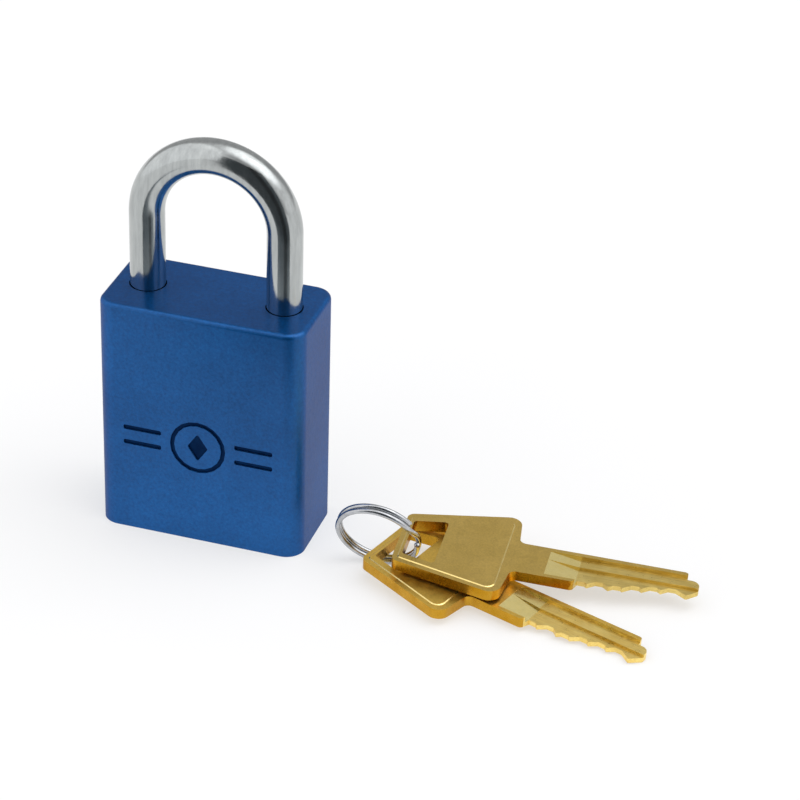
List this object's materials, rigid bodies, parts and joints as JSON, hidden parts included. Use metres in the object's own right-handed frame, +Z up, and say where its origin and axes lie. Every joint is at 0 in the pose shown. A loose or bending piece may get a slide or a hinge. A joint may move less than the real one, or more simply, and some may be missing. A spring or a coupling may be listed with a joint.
{
  "type": "safety padlock",
  "caption": "Blue anodised safety padlock with a chromed shackle, a key-operated pin cylinder, ball locking, and brass keys on a split ring.",
  "frame": {"origin": "on the padlock's flat bottom face, where the axis of the shackle's heel (long) leg meets it", "axes": "+Z up along the shackle's legs, +X from the heel leg to the toe leg, -Y out of the front face"},
  "size_m": [0.1086, 0.03, 0.0757],
  "materials": {
    "anodised_body": "satin blue anodised",
    "shackle_chrome": "polished chrome plate",
    "key_brass": "satin brass",
    "cylinder_brass": "turned brass",
    "pin_brass": "turned brass",
    "ring_steel": "bright nickel plate",
    "spring_steel": "drawn steel",
    "ball_steel": "polished steel"
  },
  "bodies": {
    "padlock": {"body": "anodised_body", "cylinder_housing": "cylinder_brass", "pin_chamber_cap": "spring_steel", "retaining_screw": "spring_steel", "shackle_spring": "spring_steel", "pin_spring_1": "spring_steel", "pin_spring_2": "spring_steel", "pin_spring_3": "spring_steel", "pin_spring_4": "spring_steel", "pin_spring_5": "spring_steel", "pin_spring_6": "spring_steel"},
    "shackle": {"shackle": "shackle_chrome"},
    "plug": {"plug": "cylinder_brass", "plug_clip": "spring_steel", "actuator": "cylinder_brass"},
    "ball_heel": {"locking_ball_heel": "ball_steel"},
    "ball_toe": {"locking_ball_toe": "ball_steel"},
    "driver_1": {"driver_pin_1": "pin_brass"},
    "driver_2": {"driver_pin_2": "pin_brass"},
    "driver_3": {"driver_pin_3": "pin_brass"},
    "driver_4": {"driver_pin_4": "pin_brass"},
    "driver_5": {"driver_pin_5": "pin_brass"},
    "driver_6": {"driver_pin_6": "pin_brass"},
    "key_pin_1": {"key_pin_1": "pin_brass"},
    "key_pin_2": {"key_pin_2": "pin_brass"},
    "key_pin_3": {"key_pin_3": "pin_brass"},
    "key_pin_4": {"key_pin_4": "pin_brass"},
    "key_pin_5": {"key_pin_5": "pin_brass"},
    "key_pin_6": {"key_pin_6": "pin_brass"},
    "key_ring": {"key_ring": "ring_steel"},
    "lower_key": {"key_lower": "key_brass"},
    "upper_key": {"key_upper": "key_brass"}
  },
  "joints": [
    {"name": "shackle_lift", "type": "slide", "parent": "padlock", "child": "shackle", "axis": [0, 0, 1], "range_m": [0, 0.0135], "deforming": ["shackle_spring"]},
    {"name": "plug_turn", "type": "hinge", "parent": "padlock", "child": "plug", "pos_m": [0.0127, 0, 0.0004], "axis": [0, 0, 1], "range_deg": [-90, 0]},
    {"name": "ball_heel_slide", "type": "slide", "parent": "padlock", "child": "ball_heel", "axis": [-1, 0, 0], "range_m": [0, 0.0015]},
    {"name": "ball_toe_slide", "type": "slide", "parent": "padlock", "child": "ball_toe", "axis": [1, 0, 0], "range_m": [0, 0.0015]},
    {"name": "key_set_slide", "type": "slide", "parent": "padlock", "child": "key_ring", "axis": [1, 0, 0], "range_m": [0, 0.04]},
    {"name": "key_lower_fan", "type": "hinge", "parent": "key_ring", "child": "lower_key", "pos_m": [0.0514, -0.0059, 0.0032], "axis": [0.0376, -0.0115, 0.9992], "range_deg": [-12, 8]},
    {"name": "key_upper_fan", "type": "hinge", "parent": "key_ring", "child": "upper_key", "pos_m": [0.0521, -0.0066, 0.0055], "axis": [0.0376, -0.0115, 0.9992], "range_deg": [-12, 15]},
    {"name": "tumbler_driver_1", "type": "slide", "parent": "padlock", "child": "driver_1", "axis": [1, 0, 0], "range_m": [0, 0.0012], "stiffness_N_per_m": 100, "deforming": ["pin_spring_1"]},
    {"name": "tumbler_driver_2", "type": "slide", "parent": "padlock", "child": "driver_2", "axis": [1, 0, 0], "range_m": [0, 0.0012], "stiffness_N_per_m": 100, "deforming": ["pin_spring_2"]},
    {"name": "tumbler_driver_3", "type": "slide", "parent": "padlock", "child": "driver_3", "axis": [1, 0, 0], "range_m": [0, 0.0012], "stiffness_N_per_m": 100, "deforming": ["pin_spring_3"]},
    {"name": "tumbler_driver_4", "type": "slide", "parent": "padlock", "child": "driver_4", "axis": [1, 0, 0], "range_m": [0, 0.0012], "stiffness_N_per_m": 100, "deforming": ["pin_spring_4"]},
    {"name": "tumbler_driver_5", "type": "slide", "parent": "padlock", "child": "driver_5", "axis": [1, 0, 0], "range_m": [0, 0.0012], "stiffness_N_per_m": 100, "deforming": ["pin_spring_5"]},
    {"name": "tumbler_driver_6", "type": "slide", "parent": "padlock", "child": "driver_6", "axis": [1, 0, 0], "range_m": [0, 0.0012], "stiffness_N_per_m": 100, "deforming": ["pin_spring_6"]},
    {"name": "tumbler_pin_1", "type": "slide", "parent": "plug", "child": "key_pin_1", "axis": [0, -1, 0], "range_m": [0, 0.0012]},
    {"name": "tumbler_pin_2", "type": "slide", "parent": "plug", "child": "key_pin_2", "axis": [0, -1, 0], "range_m": [0, 0.0012]},
    {"name": "tumbler_pin_3", "type": "slide", "parent": "plug", "child": "key_pin_3", "axis": [0, -1, 0], "range_m": [0, 0.0012]},
    {"name": "tumbler_pin_4", "type": "slide", "parent": "plug", "child": "key_pin_4", "axis": [0, -1, 0], "range_m": [0, 0.0012]},
    {"name": "tumbler_pin_5", "type": "slide", "parent": "plug", "child": "key_pin_5", "axis": [0, -1, 0], "range_m": [0, 0.0012]},
    {"name": "tumbler_pin_6", "type": "slide", "parent": "plug", "child": "key_pin_6", "axis": [0, -1, 0], "range_m": [0, 0.0012]}
  ],
  "couplings": [
    {"joint": "ball_heel_slide", "follows": "plug_turn", "m_per_rad": -0.000904},
    {"joint": "ball_toe_slide", "follows": "plug_turn", "m_per_rad": -0.000904}
  ]
}
